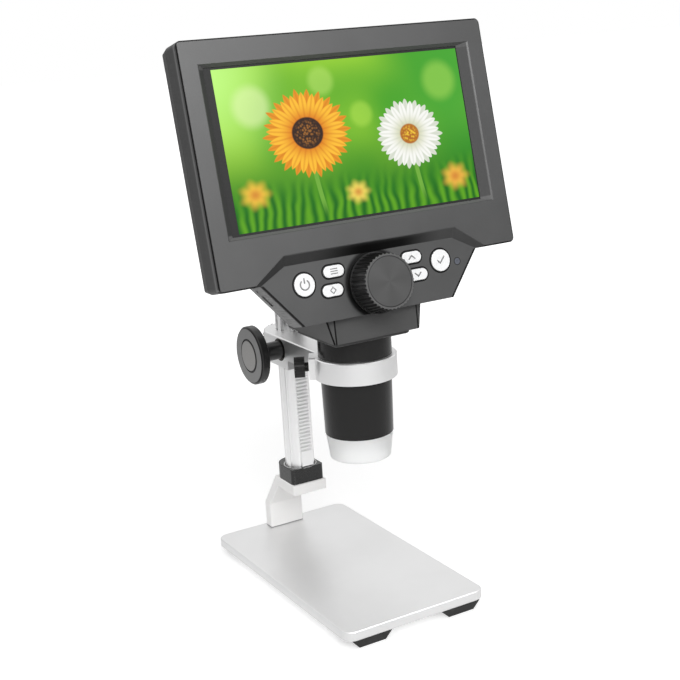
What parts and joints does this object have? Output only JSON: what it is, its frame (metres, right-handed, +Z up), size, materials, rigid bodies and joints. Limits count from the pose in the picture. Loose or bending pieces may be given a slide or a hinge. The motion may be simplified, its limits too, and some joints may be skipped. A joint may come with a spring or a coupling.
{
  "type": "lcd digital microscope",
  "caption": "Benchtop digital microscope: a leaning display head on a black lens tube, raised by a rack and pinion on a fluted column over a flat metal base.",
  "frame": {"origin": "on the surface that the feet stand on, under the middle of the base plate", "axes": "+X to the right as the viewer faces the screen, the screen faces -Y and leans back, +Z up the column"},
  "size_m": [0.1902, 0.17, 0.3363],
  "materials": {
    "plate_silver": "fine satin anodised",
    "stand_silver": "satin anodised",
    "carriage_silver": "satin anodised, bevelled edges",
    "foot_rubber": "matt black rubber",
    "black_plastic": "matt black moulded plastic",
    "screw_steel": "plain zinc-plated steel",
    "black_screw": "black oxide",
    "shaft_steel": "ground steel",
    "rack_steel": "milled steel",
    "bush_bronze": "sintered bronze",
    "pinion_brass": "machined brass",
    "knob_black": "satin black plastic",
    "inlay_grey": "grey anodised disc",
    "shell_grey": "fine-grained dark grey ABS",
    "cover_grey": "fine-grained dark grey ABS",
    "screen_frame": "black painted metal tray",
    "screen_film": "smooth film over the lit area",
    "circuit_board": "green solder mask",
    "cell_foil": "foil-wrapped lithium cell",
    "switch_metal": "tact switches with black plungers",
    "port_metal": "plated shell",
    "button_white": "smooth white plastic",
    "indicator_clear": "translucent light pipe",
    "wheel_black": "ribbed black grip",
    "wheel_cap_grey": "satin dark grey inlay",
    "tube_black": "satin black anodised",
    "shroud_frost": "clear plastic with a frosted face",
    "gear_brass": "machined brass",
    "carrier_plastic": "black acetal",
    "barrel_black": "matt black anodised",
    "lens_glass": "coated glass"
  },
  "bodies": {
    "stand": {"base_plate": "plate_silver", "foot_front_left": "foot_rubber", "foot_front_right": "foot_rubber", "foot_back_left": "foot_rubber", "foot_back_right": "foot_rubber", "column_bracket": "stand_silver", "bracket_screws": "screw_steel", "column_screw": "screw_steel", "column": "stand_silver", "column_cap": "black_plastic", "column_rack": "rack_steel", "column_collar": "black_plastic"},
    "carriage_group": {"carriage": "carriage_silver", "pinion_bushes": "bush_bronze"},
    "coarse_drive": {"coarse_shaft": "shaft_steel", "coarse_pinion": "pinion_brass", "coarse_knob": "knob_black", "coarse_knob_cap": "inlay_grey", "shaft_ring": "shaft_steel"},
    "lock": {"lock_knob": "knob_black", "lock_screw": "black_screw"},
    "clamp": {"clamp_knob": "knob_black", "clamp_screw": "black_screw"},
    "head": {"front_bezel": "shell_grey", "rear_shell": "shell_grey", "shell_screws": "black_screw", "lcd_module": "screen_frame", "display_film": "screen_film", "main_board": "circuit_board", "battery": "cell_foil", "button_board": "circuit_board", "button_switches": "switch_metal", "usb_port": "port_metal", "card_slot": "port_metal", "indicator_lens": "indicator_clear", "panel_bush": "bush_bronze", "rear_bush": "bush_bronze", "tube_housing": "shell_grey", "housing_screws": "screw_steel", "housing_cover": "cover_grey", "cover_screws": "black_screw", "upper_tube": "tube_black", "lower_tube": "tube_black", "light_shroud": "shroud_frost", "light_board": "circuit_board", "sensor_board": "circuit_board"},
    "lens": {"lens_carrier": "carrier_plastic", "lens_barrel": "barrel_black", "objective_lens": "lens_glass"},
    "focus_drive": {"focus_wheel": "wheel_black", "wheel_cap": "wheel_cap_grey", "focus_shaft": "shaft_steel", "focus_gear": "gear_brass"},
    "power_button_cap": {"power_button": "button_white"},
    "confirm_button_cap": {"confirm_button": "button_white"},
    "menu_button_cap": {"menu_button": "button_white"},
    "mode_button_cap": {"mode_button": "button_white"},
    "up_button_cap": {"up_button": "button_white"},
    "down_button_cap": {"down_button": "button_white"}
  },
  "joints": [
    {"name": "carriage_slide", "type": "slide", "parent": "stand", "child": "carriage_group", "axis": [0, 0, 1], "range_m": [-0.068, 0.058]},
    {"name": "coarse_turn", "type": "hinge", "parent": "carriage_group", "child": "coarse_drive", "pos_m": [0, 0.03325, 0.1453], "axis": [1, 0, 0], "range_deg": [-555, 651]},
    {"name": "lock_turn", "type": "hinge", "parent": "carriage_group", "child": "lock", "pos_m": [0, 0.0495, 0.1438], "axis": [0, 1, 0], "range_deg": [0, 360]},
    {"name": "clamp_turn", "type": "hinge", "parent": "carriage_group", "child": "clamp", "pos_m": [0, -0.03, 0.1468], "axis": [-0.8746, 0.4848, 0], "range_deg": [0, 360]},
    {"name": "head_swivel", "type": "hinge", "parent": "carriage_group", "child": "head", "pos_m": [0, -0.03, 0.1468], "axis": [0, 0, 1], "range_deg": [-60, 60]},
    {"name": "lens_slide", "type": "slide", "parent": "head", "child": "lens", "axis": [0, 0, 1], "range_m": [-0.006, 0.006]},
    {"name": "focus_turn", "type": "hinge", "parent": "head", "child": "focus_drive", "pos_m": [0, -0.0589, 0.19958], "axis": [0, -0.975, 0.2222], "range_deg": [-64, 64]},
    {"name": "power_button_press", "type": "slide", "parent": "head", "child": "power_button_cap", "axis": [0, 0.975, -0.2222], "range_m": [0, 0.0006], "stiffness_N_per_m": 800, "springref_m": -0.0002},
    {"name": "confirm_button_press", "type": "slide", "parent": "head", "child": "confirm_button_cap", "axis": [0, 0.975, -0.2222], "range_m": [0, 0.0006], "stiffness_N_per_m": 800, "springref_m": -0.0002},
    {"name": "menu_button_press", "type": "slide", "parent": "head", "child": "menu_button_cap", "axis": [0, 0.975, -0.2222], "range_m": [0, 0.0006], "stiffness_N_per_m": 800, "springref_m": -0.0002},
    {"name": "mode_button_press", "type": "slide", "parent": "head", "child": "mode_button_cap", "axis": [0, 0.975, -0.2222], "range_m": [0, 0.0006], "stiffness_N_per_m": 800, "springref_m": -0.0002},
    {"name": "up_button_press", "type": "slide", "parent": "head", "child": "up_button_cap", "axis": [0, 0.975, -0.2222], "range_m": [0, 0.0006], "stiffness_N_per_m": 800, "springref_m": -0.0002},
    {"name": "down_button_press", "type": "slide", "parent": "head", "child": "down_button_cap", "axis": [0, 0.975, -0.2222], "range_m": [0, 0.0006], "stiffness_N_per_m": 800, "springref_m": -0.0002}
  ],
  "couplings": [
    {"joint": "coarse_turn", "follows": "carriage_slide", "rad_per_m": -166.67},
    {"joint": "focus_turn", "follows": "lens_slide", "rad_per_m": 185.71}
  ]
}
